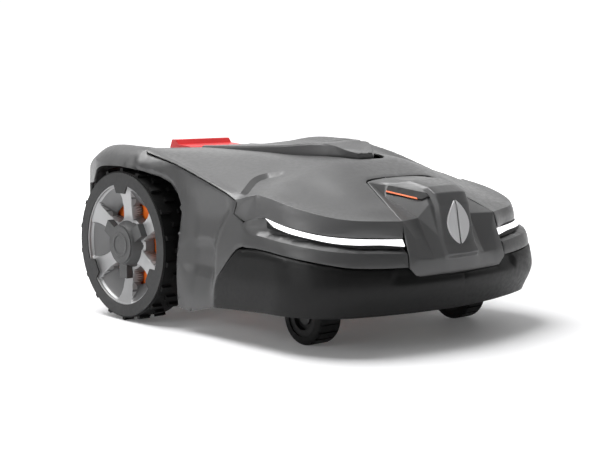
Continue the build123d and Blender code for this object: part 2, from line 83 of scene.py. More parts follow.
# ---------------------------------------------------------------- curves and surfaces
def blend(rows, at):
    """Smooth values at one place in rows of (place, value, value ...)."""
    if at <= rows[0][0]:
        return rows[0][1:]
    if at >= rows[-1][0]:
        return rows[-1][1:]
    i = max(k for k in range(len(rows) - 1) if rows[k][0] <= at)
    here, there = rows[i], rows[i + 1]
    before = rows[max(i - 1, 0)]
    after = rows[min(i + 2, len(rows) - 1)]
    width = there[0] - here[0]
    s = (at - here[0]) / width
    values = []
    for k in range(1, len(here)):
        slope_in = (there[k] - before[k]) / (there[0] - before[0]) * width
        slope_out = (after[k] - here[k]) / (after[0] - here[0]) * width
        values.append(
            here[k] * (2 * s**3 - 3 * s**2 + 1)
            + slope_in * (s**3 - 2 * s**2 + s)
            + there[k] * (3 * s**2 - 2 * s**3)
            + slope_out * (s**3 - s**2)
        )
    return values


def step(low, high, value):
    """0 below low, 1 above high and a smooth rise between."""
    s = min(max((value - low) / (high - low), 0.0), 1.0)
    return s * s * (3 - 2 * s)


def measured(points):
    """Rows of each point's distance along the line and its coordinates."""
    lengths = [0.0]
    for a, b in zip(points, points[1:]):
        lengths.append(lengths[-1] + math.dist(a, b))
    return [(length, *point) for length, point in zip(lengths, points)]


def resample(points, count):
    """Points at a given number of even steps along a smooth curve."""
    rows = measured(points)
    return [tuple(blend(rows, rows[-1][0] * i / count)) for i in range(count + 1)]


def path(points, spacing=4.0):
    """Points evenly spaced along a smooth curve through the given points."""
    return resample(points, max(2, round(measured(points)[-1][0] / spacing)))


def broken(points, spacing=4.0):
    """Points evenly spaced along straight runs."""
    dense = [points[0]]
    for a, b in zip(points, points[1:]):
        count = max(1, round(math.dist(a, b) / spacing))
        dense += [tuple(p + (q - p) * i / count for p, q in zip(a, b)) for i in range(1, count + 1)]
    return dense


def wall_frame(z):
    """The front arc and corner arc of the wall at one height."""
    front, side = blend(WALLS, z)
    centre_y = front + FRONT_ARC_R
    corner_x = side - CORNER_R
    corner_y = centre_y - math.sqrt((FRONT_ARC_R - CORNER_R) ** 2 - corner_x**2)
    turn = math.atan2(corner_x, centre_y - corner_y)
    return centre_y, corner_x, corner_y, turn, side


def wall(u, z, out=0.0):
    """The wall point a distance u round from the nose, at height z, moved outwards."""
    centre_y, corner_x, corner_y, turn, side = wall_frame(z)
    sign = -1 if u < 0 else 1
    u = abs(u)
    if u < ARC_SPAN:
        angle = turn * u / ARC_SPAN
        r = FRONT_ARC_R + out
        return (sign * r * math.sin(angle), centre_y - r * math.cos(angle), z)
    if u < ARC_SPAN + CORNER_SPAN:
        angle = turn + (math.pi / 2 - turn) * (u - ARC_SPAN) / CORNER_SPAN
        r = CORNER_R + out
        return (sign * (corner_x + r * math.sin(angle)), corner_y - r * math.cos(angle), z)
    return (sign * (side + out), corner_y + u - ARC_SPAN - CORNER_SPAN, z)


def along(x, y, z):
    """The distance u round the wall of a point near it."""
    centre_y, corner_x, corner_y, turn, side = wall_frame(z)
    if y >= corner_y:
        return ARC_SPAN + CORNER_SPAN + y - corner_y
    angle = math.atan2(abs(x), centre_y - y)
    if angle < turn:
        return ARC_SPAN * angle / turn
    angle = math.atan2(abs(x) - corner_x, corner_y - y)
    return ARC_SPAN + CORNER_SPAN * (angle - turn) / (math.pi / 2 - turn)


def on_wall(points):
    """The (u, z) places of points x, y, z near the wall."""
    return [(along(*p), p[2]) for p in points]


# ---------------------------------------------------------------- mesh building
# A patch's inner points keep this share of the spacing clear of its borders.
EDGE_CLEARANCE = 0.55


def make_object(name, points, faces):
    """A mesh object from points in millimetres."""
    mesh = bpy.data.meshes.new(name)
    mesh.from_pydata([tuple(c * MM for c in p) for p in points], [], faces)
    mesh.update()
    obj = bpy.data.objects.new(name, mesh)
    bpy.context.scene.collection.objects.link(obj)
    return obj


def inside(outline, x, y):
    """True if a place lies within a closed outline."""
    hit = False
    for (x1, y1), (x2, y2) in zip(outline, outline[1:] + outline[:1]):
        if (y1 > y) != (y2 > y) and x < (x2 - x1) * (y - y1) / (y2 - y1) + x1:
            hit = not hit
    return hit


def patch(outline, surface, spacing=5.0, creases=()):
    """Points and faces covering an outline, carried onto a surface. Faces follow the creases."""
    edge_lines = [list(outline) + [outline[0]], *creases]
    verts, edges = [], []
    for line in edge_lines:
        start = len(verts)
        verts += [Vector(p) for p in line]
        edges += [(start + i, start + i + 1) for i in range(len(line) - 1)]
    low_x = min(p[0] for p in outline)
    high_x = max(p[0] for p in outline)
    low_y = min(p[1] for p in outline)
    high_y = max(p[1] for p in outline)
    borders = [Vector(p) for line in edge_lines for p in line]
    near = {}
    for p in borders:
        near.setdefault((int(p.x // spacing), int(p.y // spacing)), []).append(p)
    for i in range(int((high_x - low_x) / spacing) + 1):
        for j in range(int((high_y - low_y) / spacing) + 1):
            p = Vector((low_x + (i + 0.5 * (j % 2)) * spacing, low_y + j * spacing))
            cell = (int(p.x // spacing), int(p.y // spacing))
            around = [(cell[0] + a, cell[1] + b) for a in (-1, 0, 1) for b in (-1, 0, 1)]
            close = [q for key in around for q in near.get(key, [])]
            if any((q - p).length < EDGE_CLEARANCE * spacing for q in close):
                continue
            if inside(outline, p.x, p.y):
                verts.append(p)
    flat, _, faces, *_ = delaunay_2d_cdt(verts, edges, [], 0, 0.01)
    kept = []
    for face in faces:
        cx = sum(flat[i][0] for i in face) / len(face)
        cy = sum(flat[i][1] for i in face) / len(face)
        if inside(outline, cx, cy):
            kept.append(face)
    return [surface(p[0], p[1]) for p in flat], kept


def mirrored(points, faces):
    """The points and faces with their mirror image added."""
    count = len(points)
    points = list(points) + [(-x, y, z) for x, y, z in points]
    return points, list(faces) + [tuple(i + count for i in reversed(f)) for f in faces]


def joined(*parts):
    """Several (points, faces) pairs as one."""
    points, faces = [], []
    for more_points, more_faces in parts:
        start = len(points)
        points += list(more_points)
        faces += [tuple(i + start for i in f) for f in more_faces]
    return points, faces


def grid(rows):
    """Points and faces of a net of rows that all have the same number of points."""
    width = len(rows[0])
    points = [p for row in rows for p in row]
    faces = [
        (i * width + j, i * width + j + 1, (i + 1) * width + j + 1, (i + 1) * width + j)
        for i in range(len(rows) - 1)
        for j in range(width - 1)
    ]
    return points, faces


def finish_mesh(obj, smooth_angle, facing=None):
    """Joins touching points, turns the faces one way, to a direction if given, and marks sharp edges."""
    bm = bmesh.new()
    bm.from_mesh(obj.data)
    bmesh.ops.remove_doubles(bm, verts=bm.verts, dist=0.05 * MM)
    bmesh.ops.recalc_face_normals(bm, faces=bm.faces)
    if facing is not None:
        total = 0.0
        for f in bm.faces:
            total += f.normal.dot(Vector(facing(f.calc_center_median()))) * f.calc_area()
        if total < 0:
            bmesh.ops.reverse_faces(bm, faces=bm.faces)
    bm.to_mesh(obj.data)
    bm.free()
    obj.data.shade_smooth()
    obj.data.set_sharp_from_angle(angle=math.radians(smooth_angle))


MIDDLE_Z = 90.0


def outwards(centre):
    """The direction away from the middle of the mower."""
    return (centre.x, centre.y, centre.z - MIDDLE_Z * MM)


def soften(obj, width, segments=2, degrees=30):
    """Rounds a piece's edges that are sharper than an angle."""
    bevel = obj.modifiers.new("Bevel", "BEVEL")
    bevel.width = width * MM
    bevel.segments = segments
    bevel.limit_method = "ANGLE"
    bevel.angle_limit = math.radians(degrees)


def panel(name, mesh, thickness, material, bevel, body="shell", angle=35, facing=outwards, bevel_angle=40):
    """A moulded panel: a surface given thickness inwards, with softened edges."""
    obj = make_object(name, *mesh)
    finish_mesh(obj, angle, facing)
    solid = obj.modifiers.new("Solidify", "SOLIDIFY")
    solid.thickness = thickness * MM
    solid.offset = -1
    solid.use_even_offset = False
    soften(obj, bevel, degrees=bevel_angle)
    obj.data.materials.append(material)
    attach(obj, body)
    return obj


# ---------------------------------------------------------------- materials
# The part of a noise texture's range that carries most of its pattern, and how far the gloss varies.
NOISE_LOW, NOISE_HIGH = 0.3, 0.7
GLOSS_SPREAD = 0.06


def plastic(name, dark, light, roughness, grain=0.06, scale=60.0, coat=0.0, metallic=0.0, shine=0.5):
    """Moulded plastic or paint: colour and gloss vary a little, with a fine grain."""
    material = bpy.data.materials.new(name)
    material.use_nodes = True
    nodes, links = material.node_tree.nodes, material.node_tree.links
    shader = nodes["Principled BSDF"]
    place = nodes.new("ShaderNodeTexCoord")
    cloud = nodes.new("ShaderNodeTexNoise")
    cloud.inputs["Scale"].default_value = scale * 0.2
    cloud.inputs["Detail"].default_value = 5
    links.new(place.outputs["Object"], cloud.inputs["Vector"])
    colours = nodes.new("ShaderNodeValToRGB")
    colours.color_ramp.elements[0].position = NOISE_LOW
    colours.color_ramp.elements[0].color = (*dark, 1)
    colours.color_ramp.elements[1].position = NOISE_HIGH
    colours.color_ramp.elements[1].color = (*light, 1)
    links.new(cloud.outputs["Fac"], colours.inputs["Fac"])
    links.new(colours.outputs["Color"], shader.inputs["Base Color"])
    gloss = nodes.new("ShaderNodeMapRange")
    gloss.inputs["From Min"].default_value = NOISE_LOW
    gloss.inputs["From Max"].default_value = NOISE_HIGH
    gloss.inputs["To Min"].default_value = roughness - GLOSS_SPREAD
    gloss.inputs["To Max"].default_value = roughness + GLOSS_SPREAD
    speck = nodes.new("ShaderNodeTexNoise")
    speck.inputs["Scale"].default_value = scale * 3
    links.new(place.outputs["Object"], speck.inputs["Vector"])
    links.new(speck.outputs["Fac"], gloss.inputs["Value"])
    links.new(gloss.outputs["Result"], shader.inputs["Roughness"])
    fine = nodes.new("ShaderNodeTexNoise")
    fine.inputs["Scale"].default_value = scale * 40
    links.new(place.outputs["Object"], fine.inputs["Vector"])
    bump = nodes.new("ShaderNodeBump")
    bump.inputs["Strength"].default_value = grain
    bump.inputs["Distance"].default_value = 0.0004
    links.new(fine.outputs["Fac"], bump.inputs["Height"])
    links.new(bump.outputs["Normal"], shader.inputs["Normal"])
    shader.inputs["Coat Weight"].default_value = coat
    shader.inputs["Coat Roughness"].default_value = 0.25
    shader.inputs["Metallic"].default_value = metallic
    shader.inputs["Specular IOR Level"].default_value = shine
    return material


def grey(value):
    """A neutral colour."""
    return (value, value, value * 1.01)


BODY = plastic("body_grey", grey(0.047), grey(0.053), 0.38)
HOOD = plastic("hood_grey", grey(0.072), grey(0.08), 0.36, shine=0.55)
BUMPER = plastic("bumper_charcoal", grey(0.004), grey(0.006), 0.42, shine=0.22)
BLACK = plastic("chassis_black", grey(0.006), grey(0.01), 0.55, shine=0.25)
TYRE = plastic("tyre_rubber", grey(0.003), grey(0.005), 0.6, grain=0.15, shine=0.2)
TRIM = plastic("wheel_trim_grey", grey(0.02), grey(0.026), 0.5, shine=0.3)
CAP = plastic("wheel_cap_grey", grey(0.045), grey(0.055), 0.5)
# Painted shade: the pockets are the same silver as the spokes, painted darker to stand in for the shading
# in their hollows.
POCKET_SHADE = plastic("rim_pocket_painted_shade", grey(0.12), grey(0.15), 0.4, metallic=0.2)
RIM_PAINT = plastic("rim_silver", grey(0.33), grey(0.38), 0.36, metallic=0.35)
ORANGE = plastic("orange", (0.75, 0.12, 0.01), (0.85, 0.17, 0.015), 0.45)
RED = plastic("stop_red", (0.55, 0.012, 0.015), (0.65, 0.02, 0.02), 0.35, coat=0.2)
BADGE = plastic("badge_silver", grey(0.6), grey(0.66), 0.35, metallic=0.3)
STEEL = plastic("steel", grey(0.5), grey(0.58), 0.3, metallic=1.0)
BRASS = plastic("contact_brass", (0.7, 0.5, 0.2), (0.78, 0.58, 0.26), 0.3, metallic=1.0)
BOARD = plastic("board_green", (0.01, 0.1, 0.03), (0.015, 0.14, 0.05), 0.5)
DARK_KEY = plastic("key_grey", grey(0.1), grey(0.13), 0.5)


def lamp_plastic():
    """The clear strip over the headlight, lit evenly from behind."""
    material = plastic("headlight_strip", grey(0.9), grey(0.96), 0.12, coat=0.6)
    nodes, links = material.node_tree.nodes, material.node_tree.links
    shader = nodes["Principled BSDF"]
    links.new(nodes["Color Ramp"].outputs["Color"], shader.inputs["Emission Color"])
    shader.inputs["Emission Strength"].default_value = 1.3
    return material


LAMP = lamp_plastic()


# ---------------------------------------------------------------- the top surface of the shell
TOP_X = (0, 55, 92, 125, 155, 175, 190, 200, 212, 224)
TOP = [
    (-290, 156, 156, 156, 156, 155, 155, 154, 153, 152, 150),
    (-265, 168, 167, 164, 162, 160, 159, 158, 157, 156, 154),
    (-235, 180, 179, 175, 170, 166, 165, 164, 163, 162, 160),
    (-205, 196, 194, 188, 180, 174, 172, 171, 170, 169, 167),
    (-178, 208, 206, 199, 189, 182, 178, 177, 175, 172, 169),
    (-137, 224, 222, 213, 203, 195, 189, 186, 182, 177, 172),
    (-105, 228, 226, 216.5, 207, 200, 194, 189, 183, 176, 170),
    (-80, 229, 227, 219, 210, 204, 198, 193, 189, 183, 176),
    (-45, 229.5, 228, 224, 217, 210, 205, 201, 199, 193, 185),
    (0, 229.5, 229, 228.5, 224, 217, 213, 212, 212, 204, 195),
    (40, 229.5, 229.5, 229.5, 227.5, 223.5, 222, 223, 223, 214, 202),
    (87, 229.5, 230, 230, 230.5, 231.5, 233.5, 235, 233, 222, 204),
    (128, 229.5, 230, 230, 230.5, 232.5, 235.5, 237.2, 234.5, 226, 211),
    (165, 229, 229, 229.5, 230.5, 232.5, 236, 237.5, 234.5, 226, 210),
    (192, 227, 227.5, 228, 229.5, 231.5, 234, 233.5, 229, 219, 203),
    (220, 223, 224, 225, 226, 226.5, 224.5, 219, 213, 203, 190),
    (250, 217, 218, 218, 217, 213, 207, 200, 194, 185, 175),
    (280, 209, 210, 209, 205, 197, 188, 180, 174, 166, 158),
    (306, 200, 200, 198, 191, 181, 172, 165, 160, 153, 146),
]
# The eyebrow is a small step that runs from the hood corner inwards and fades towards the nose.
BROW = [
    (207, -110), (196, -104), (186, -99.5), (170, -90), (156, -83.5), (143, -81), (131, -83), (120, -91),
    (111, -105), (103, -125), (98, -152),
]
BROW_DEPTH = 5.0
BROW_WIDTH = 7.0
# The step dies out between these distances below the eyebrow, and between these shares of its length.
BROW_FOOT = (16, 55)
BROW_FADE = (0.5, 0.98)


def nearest(line, x, y):
    """Signed distance to a plan polyline and how far along it, 0 to 1."""
    best = (1e9, 0.0)
    for i, ((ax, ay), (bx, by)) in enumerate(zip(line, line[1:])):
        dx, dy = bx - ax, by - ay
        t = min(max(((x - ax) * dx + (y - ay) * dy) / (dx * dx + dy * dy), 0.0), 1.0)
        gap = math.hypot(x - ax - t * dx, y - ay - t * dy)
        if gap < abs(best[0]):
            turn = dx * (y - ay) - dy * (x - ax)
            best = (math.copysign(gap, turn), (i + t) / (len(line) - 1))
    return best


def top_height(x, y):
    """Height of the shell's top surface."""
    heights = blend(TOP, y)
    rows = [(-TOP_X[1], heights[1])] + list(zip(TOP_X, heights))
    return blend(rows, abs(x))[0]


def brow_step(x, y):
    """How far the eyebrow's step lowers the surface towards the headlight."""
    side, place = nearest(BROW, abs(x), y)
    if side <= 0:
        return 0.0
    drop = min(side / BROW_WIDTH, 1.0) * (1 - step(*BROW_FOOT, side))
    return BROW_DEPTH * drop * (1 - step(*BROW_FADE, place))


# ---------------------------------------------------------------- hood
NOSE_SEAM = [(0, -189), (48, -188), (58, -189), (63, -193), (88, -276)]
SEAM_SIDE = [(205, -107), (204.5, -84), (204, -42), (203.5, 19), (203, 84)]
HATCH_PLAN = [(0, -129), (13, -128), (26, -118), (46, -78), (53, -40), (54, 20), (53, 110), (50, 160)]
HATCH_GAP = 9.5
REAR_SEAM = [(198, 88), (160, 100), (120, 135), (66, 150)]
# The seam's height at several y, and how far the hood's edge stands over it.
SEAM_HEIGHT = [(-108, 179), (-84, 188), (-42, 201), (19, 218), (82, 230), (90, 234)]
SEAM_STEP = 1.4


def seam_height(y):
    """Height of the hood seam along the side."""
    return blend(SEAM_HEIGHT, y)[0]


rim_main = path(RIM, 5)
light_top = path(LIGHT_TOP, 5)
# The band under the rim comes down to the headlight's top and ends behind it.
low_curve = light_top + [(201, -140, 159)]
# Round the corner the hood turns down the side: its top edge, its crease and its lower edge.
CORNER_TOP = [RIM[-1], (198, -121, 184), (205, -108, 179)]
CORNER_CREASE = [RIM[-1], (199.5, -117, 178), (206.3, -104, 167)]
CORNER_LOW = [(202, -133, 157.8), (204, -124, 154), (206.5, -102, 164)]
CORNER_STEPS = 10
corner_top = resample(CORNER_TOP, CORNER_STEPS)
corner_crease = resample(CORNER_CREASE, CORNER_STEPS)
corner_low = resample(CORNER_LOW, CORNER_STEPS)
# The hood's edge round the hatch: the hatch's own line moved out, and forward at its tip.
gap_points = [(x + HATCH_GAP if x else 0, y - (HATCH_GAP if y < -110 else 0)) for x, y in HATCH_PLAN]
gap_line = path(gap_points, 4)
side_seam = [(x, y, seam_height(y) + SEAM_STEP) for x, y in broken(SEAM_SIDE, 5)]
# Each edge that the hood's surface is drawn onto, and how far inwards that pull reaches.
HOOD_EDGES = ((rim_main, 30), (corner_top, 12), (side_seam, 14))


def hood_height(x, y):
    """The top surface, drawn onto the rim and the side seam near the hood's edges."""
    change = 0.0
    weights = 0.0
    rim_gap = 100.0
    for line, reach in HOOD_EDGES:
        gap, edge = min((math.hypot(x - p[0], y - p[1]), p) for p in line)
        weight = 1 - step(0, reach, gap)
        change += weight * (edge[2] - top_height(edge[0], edge[1]))
        weights += weight
        if line is not side_seam:
            rim_gap = min(rim_gap, gap)
    return top_height(x, y) + change / max(weights, 1.0) - brow_step(x, y) * step(0, 7, rim_gap)


hood_outline = broken(NOSE_SEAM[:-1] + [rim_main[0][:2]], 4)
hood_outline += [p[:2] for p in rim_main[1:] + corner_top[1:]]
hood_outline += broken(SEAM_SIDE + REAR_SEAM, 4)[:-1] + gap_line[::-1]
hood_outline += broken([gap_line[0], NOSE_SEAM[0]], 4)[1:-1]
brow_top = path(BROW[1:], 4)
brow_foot = []
for (ax, ay), (bx, by) in zip(brow_top, brow_top[1:]):
    length = math.hypot(bx - ax, by - ay)
    brow_foot.append((ax - (by - ay) / length * BROW_WIDTH, ay + (bx - ax) / length * BROW_WIDTH))
brow_lines = [brow_top, brow_foot[2:]]
hood_half = patch(hood_outline, lambda x, y: (x, y, hood_height(x, y)), 6.0, brow_lines)


def curve_at(points, u):
    """The point of a wall curve at one distance round the wall."""
    rows = [(along(*p), *p) for p in points]
    rows = [row for i, row in enumerate(rows) if i == 0 or row[0] > rows[i - 1][0]]
    if u <= rows[0][0]:
        return rows[0][1:]
    for a, b in zip(rows, rows[1:]):
        if u <= b[0]:
            t = (u - a[0]) / (b[0] - a[0])
            return tuple(p + (q - p) * t for p, q in zip(a[1:], b[1:]))
    return rows[-1][1:]


def between(top, low, bulge, count=6):
    """A column of points from a rim point down to a low point, bulging outwards."""
    column = []
    for i in range(count + 1):
        t = i / count
        x, y, z = (p + (q - p) * t for p, q in zip(top, low))
        out = bulge * math.sin(math.pi * t)
        length = math.hypot(x, y)
        column.append((x + out * x / length, y + out * y / length, z))
    return column


BAND_BULGE, CORNER_BULGE = 1.2, 0.4
band = [between(p, curve_at(low_curve, along(*p)), BAND_BULGE) for p in rim_main]
for top, crease, low in zip(corner_top[1:], corner_crease[1:], corner_low[1:]):
    band.append(between(top, crease, 0, 3)[:-1] + between(crease, low, CORNER_BULGE, 3))
hood = panel("top_cover_hood", mirrored(*joined(hood_half, grid(band))), 1.3, HOOD, bevel=0.5, angle=24)
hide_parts("top_cover")


# ---------------------------------------------------------------- side walls of the shell
LIP = [(3, 163), (12, 179), (26, 193), (45, 200), (69, 204.5), (88, 208)]
ARCH_FRONT = [(9, 31), (7, 100), (3, 163)]
FLANK = [
    (28, 210), (46, 212), (78, 214.5), (104, 213.5), (124, 211.5), (140, 209.5), (160, 207.5),
    (180, 205), (200, 203.5), (230, 202),
]
# The ridge ahead of the wheel, as z and y, and the lower and upper edges of the scoop, as y and z.
RIDGE = [(40, -74), (80, -80), (112, -80), (140, -86), (165, -104)]
SCOOP_LOW = [(-72, 76), (-50, 78), (-15, 80), (0, 90)]
SCOOP_TOP = [(-72, 119), (-56, 126), (-23, 124), (0, 114)]
HOLLOW_DEPTH = 7.0
SCOOP_DEPTH = 4.0
# The fender's shoulder grows from its front end to the notch: its half width at the lip and its lean.
FENDER_FRONT, NOTCH_Y = -5, 88
FENDER_FOOT, FENDER_LEAN = 220, 21


def side_x(y, z):
    """Half width of the side wall, with its ridge, scoop and fender shoulder."""
    x = blend(FLANK, z)[0]
    gap = y - blend(RIDGE, z)[0]
    hollow = step(2, 18, gap) * (1 - step(-30, -4, y)) * step(40, 85, z) * (1 - step(150, 196, z))
    x -= HOLLOW_DEPTH * hollow
    scoop = step(0, 12, z - blend(SCOOP_LOW, y)[0]) * step(0, 9, blend(SCOOP_TOP, y)[0] - z)
    scoop *= step(3, 15, gap) * (1 - step(-20, 2, y))
    x -= SCOOP_DEPTH * scoop
    if y > FENDER_FRONT:
        low = blend(LIP, y)[0]
        high = seam_height(y)
        w = min(max((z - low) / (high - low), 0.0), 1.0)
        fender = FENDER_FOOT - FENDER_LEAN * w**1.7
        t = (y - FENDER_FRONT) / (NOTCH_Y - FENDER_FRONT)
        x = x * (1 - t) + fender * t
    return x


LEDGE_PROUD, LEDGE_DEPTH = 0.5, 9.0
LIP_ROLL = 4.0


def ledge_out(u, z):
    """How far the wall stands proud under the ledge, or lies back over it, below the headlight."""
    edge = curve_at(ledge_line, u)[2]
    return LEDGE_PROUD - LEDGE_DEPTH * step(-0.5, 5.5, z - edge)


def shell_wall(u, z):
    """The body shell's wall from the nose round to the wheel arch."""
    x, y, z = wall(u, z, ledge_out(u, z))
    if y > -170:
        share = step(-168, -122, y)
        x += (side_x(y, z) - x) * share
        if y > 3:
            low = blend(LIP, y)[0]
            x -= LIP_ROLL * (1 - step(0, 10, z - low)) ** 2
    return x, y, z


SIDE_X = 210


def on_side(points):
    """The (u, z) places of side points given as y, z."""
    return [(along(SIDE_X, y, z), z) for y, z in points]


# The fascia's edges along the side, as y, z: behind the bumper, its foot, and up to the headlight.
BACK_EDGE = [(-127.5, 124.5), (-115, 119), (-94, 96), (-76.8, 72.5), (-71, 41)]
FOOT_EDGE = [(-69, 41), (-24, 29.5), (-22, 34), (-20, 29.5), (9, 31)]
UNDER_SEAM = [
    (88, 232.5), (83, 228), (19, 216.3), (-42, 199.3), (-84, 186.3), (-109.5, 177), (-106, 162.5),
]
BEHIND_LIGHT = [(-124, 152.5), (-149.5, 163), (-163, 157)]
ledge_line = path(LEDGE_EDGE, 5)
seam_top = path(BUMPER_SEAM, 5)
fascia_outline = on_wall(seam_top[:-1])
fascia_outline += on_side(path(BACK_EDGE, 4))
fascia_outline += on_side(broken(FOOT_EDGE, 3))
fascia_outline += on_side(broken(ARCH_FRONT, 4)[1:] + broken(LIP, 4)[1:-1])
notch_line = [(NOTCH_Y, z) for z in range(208, 233, 4)]
fascia_outline += on_side(notch_line)
fascia_outline += on_side(broken(UNDER_SEAM, 4) + broken(BEHIND_LIGHT, 4))
fascia_outline += on_wall(path(LIGHT_LOW, 5)[::-1])
fascia_outline += broken([fascia_outline[-1], fascia_outline[0]], 4)[1:-1]
fascia_half = patch(fascia_outline, shell_wall, 4.5, [on_wall(ledge_line[1:-1])])

# ---------------------------------------------------------------- fenders and rear of the shell
REAR_PLAN = [
    (222, 110), (222, 155), (218.5, 178), (211, 196), (200, 218), (184, 250), (162, 281), (132, 300),
    (90, REAR), (0, REAR),
]
# The deck's edges beside the console and along the rear seam of the hood.
CONSOLE_EDGE = [(0, REAR), (0, 250), (66, 250), (66, 152)]
DECK_SEAM = [(66, 150.8), (120, 135.8), (160, 100.8), (198, 88.8)]
# The height of the wheel arch's lip at several y.
WHEEL_LIP = [(88, 208), (114, 211), (165, 209), (182, 203), (193, 193), (204, 185), (262, 178)]
rear_edge = [shell_wall(*on_side([(NOTCH_Y, 208)])[0])[:2]] + path(REAR_PLAN, 5)
deck_outline = list(rear_edge)
deck_outline += broken(CONSOLE_EDGE, 5)[1:]
deck_outline += broken(DECK_SEAM, 4)
fender_cut = [shell_wall(*place) for place in on_side(notch_line[::-1])]
deck_outline += [p[:2] for p in fender_cut]


def deck_height(x, y):
    """The top surface, matched to the side wall where the two meet."""
    z = top_height(x, y)
    if y < 112 and x > 190:
        gap, cut = min((abs(x - p[0]), p) for p in fender_cut)
        z += (cut[2] - top_height(*cut[:2])) * (1 - step(88, 112, y)) * (1 - step(0, 6, gap))
    return z


deck_half = patch(deck_outline, lambda x, y: (x, y, deck_height(x, y)), 6.0)


def rear_column(x, y):
    """A column of the rear wall from the top edge down to its lower edge."""
    top = deck_height(x, y)
    low = min(blend(WHEEL_LIP, y)[0], top - 0.5) if y < 262 else 60 + 116 * step(152, 172, x)
    lean = 4 * step(0, 80, top - low)
    count = 8
    return [(x + lean * i / count * (x > 150), y, top + (low - top) * i / count) for i in range(count + 1)]


rear_half = grid([rear_column(x, y) for x, y in rear_edge])
shell_half = joined(fascia_half, deck_half, rear_half)
panel("body_shell_main", mirrored(*shell_half), 3.0, BODY, bevel=0.8, angle=30)


# ---------------------------------------------------------------- bumper
BUMPER_LOW = [
    (0, -289, 45), (119, -274, 46), (170, -253, 46.5), (205, -205, 47), (212, -177, 47), (212, -121, 44),
    (212, -73, 41),
]
BUMPER_BACK = [(213, -73, 42), (213.5, -79, 72), (213, -96, 95), (212.5, -117, 117), (212, -123, 121)]
BUMPER_NOTCH = [(88.5, -299, 102.5), (73, -300, 91.5), (0, -301, 90)]
# The notch under the nose reaches this far round the wall on each side, with its edge at this height.
NOSE_NOTCH_HALF, NOSE_NOTCH_Z = 90, 92
BUMPER_PROUD, BUMPER_ROLL = 1.5, 3.5
bumper_low = on_wall(path(BUMPER_LOW, 6))
bumper_back = on_wall(path(BUMPER_BACK, 5))
bumper_top = [(u, z - 1.6) for u, z in on_wall(seam_top)]
bumper_notch = broken(on_wall(BUMPER_NOTCH), 5)
bumper_outline = bumper_low + bumper_back + bumper_top[::-1][1:] + bumper_notch


def bumper_out(u, z):
    """The bumper's face stands proud of the wall and is rounded over at the top."""
    top = curve_at(seam_top, u)[2] if abs(u) > NOSE_NOTCH_HALF else NOSE_NOTCH_Z
    return BUMPER_PROUD - BUMPER_ROLL * (1 - step(0, 7, top - z)) ** 2


bumper_half = patch(bumper_outline, lambda u, z: wall(u, z, bumper_out(u, z)), 5.0)
bumper = panel("front_bumper_panel", mirrored(*bumper_half), 4.0, BUMPER, bevel=0.8, angle=40)
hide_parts("front_bumper")

# ---------------------------------------------------------------- nose
# The box in the middle as lines from front to back: half width, then (y, z) points.
NOSE_BOX = [
    (0, (-190.5, 203), (-236, 202.5), (-267, 196.5), (-280, 189), (-287, 174), (-293.5, 136), (-296.5, 127),
     (-304, 114.5), (-299, 109), (-298, 86)),
    (27.5, (-190, 202.5), (-236, 202), (-265, 195.5), (-278, 188), (-285, 174), (-292, 136), (-295, 127),
     (-302.5, 115), (-298.5, 109), (-297.6, 86)),
    (31, (-190, 202.3), (-234, 200.5), (-260, 193), (-270, 185), (-278, 173), (-287.5, 136), (-293, 125),
     (-297, 113), (-297.5, 109), (-297.4, 86)),
]
# Corners of the facets beside the box.
NOSE_POINTS = {
    "back": (48, -189.5, 201), "corner": (58, -189.5, 199.4), "shelf": (43, -207, 195.5),
    "shelf_end": (33, -267, 186), "vent_back": (49.5, -213, 181), "vent_end": (37, -277, 175),
    "valley": (47, -267, 158.5), "tip": (85, -276.5, 158), "tip_low": (85, -284, 136),
    "edge": (86, -291, 118), "edge_low": (88, -294.5, 103), "fold": (47, -279.5, 136),
    "fold_out": (71, -285.5, 136), "skirt": (47, -294.5, 111), "skirt_out": (71, -292.5, 112),
    "low": (47, -296.5, 86), "low_out": (71, -295, 87),
}
NOSE_FACETS = [
    ("back", 0, 1, "shelf"), ("shelf", 1, 2, "shelf_end"), ("back", "shelf", "corner"),
    ("corner", "shelf", "vent_back"), ("shelf", "shelf_end", "vent_end", "vent_back"),
    (2, 3, "shelf_end"), ("shelf_end", 3, 4, "vent_end"), ("vent_end", 4, 5), ("vent_end", 5, "valley"),
    ("valley", 5, 6), ("vent_back", "vent_end", "valley"), ("corner", "vent_back", "valley", "tip"),
    ("valley", 6, "fold"), ("valley", "fold", "fold_out", "tip"), ("tip", "fold_out", "tip_low"),
    (6, 7, "skirt", "fold"), ("fold", "skirt", "skirt_out", "fold_out"),
    ("fold_out", "skirt_out", "edge", "tip_low"), (7, 8, "skirt"), (8, 9, "low", "skirt"),
    ("skirt", "low", "low_out", "skirt_out"), ("skirt_out", "low_out", "edge_low", "edge"),
]


def nose_box():
    """Half of the box with the badge on it."""
    rows = [(row[0], *[c for point in row[1:] for c in point]) for row in NOSE_BOX]
    columns = []
    for x in (0, 7, 14, 21, 27.5, 31):
        flat = blend(rows, x) if x < 27.5 else blend(rows[1:], x)
        columns.append([(x, flat[2 * i], flat[2 * i + 1]) for i in range(len(flat) // 2)])
    return grid(columns)


def nose_facets():
    """The flat facets from the box out to the hood and the headlight."""
    x, *profile = NOSE_BOX[-1]
    corners = {i: (x, y, z) for i, (y, z) in enumerate(profile)}
    corners.update(NOSE_POINTS)
    order = {key: i for i, key in enumerate(corners)}
    return list(corners.values()), [tuple(order[key] for key in facet) for facet in NOSE_FACETS]


nose_mesh = mirrored(*joined(nose_box(), nose_facets()))
nose = panel("body_shell_nose", nose_mesh, 3.0, HOOD, bevel=1.3, angle=18, bevel_angle=12)
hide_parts("body_shell")

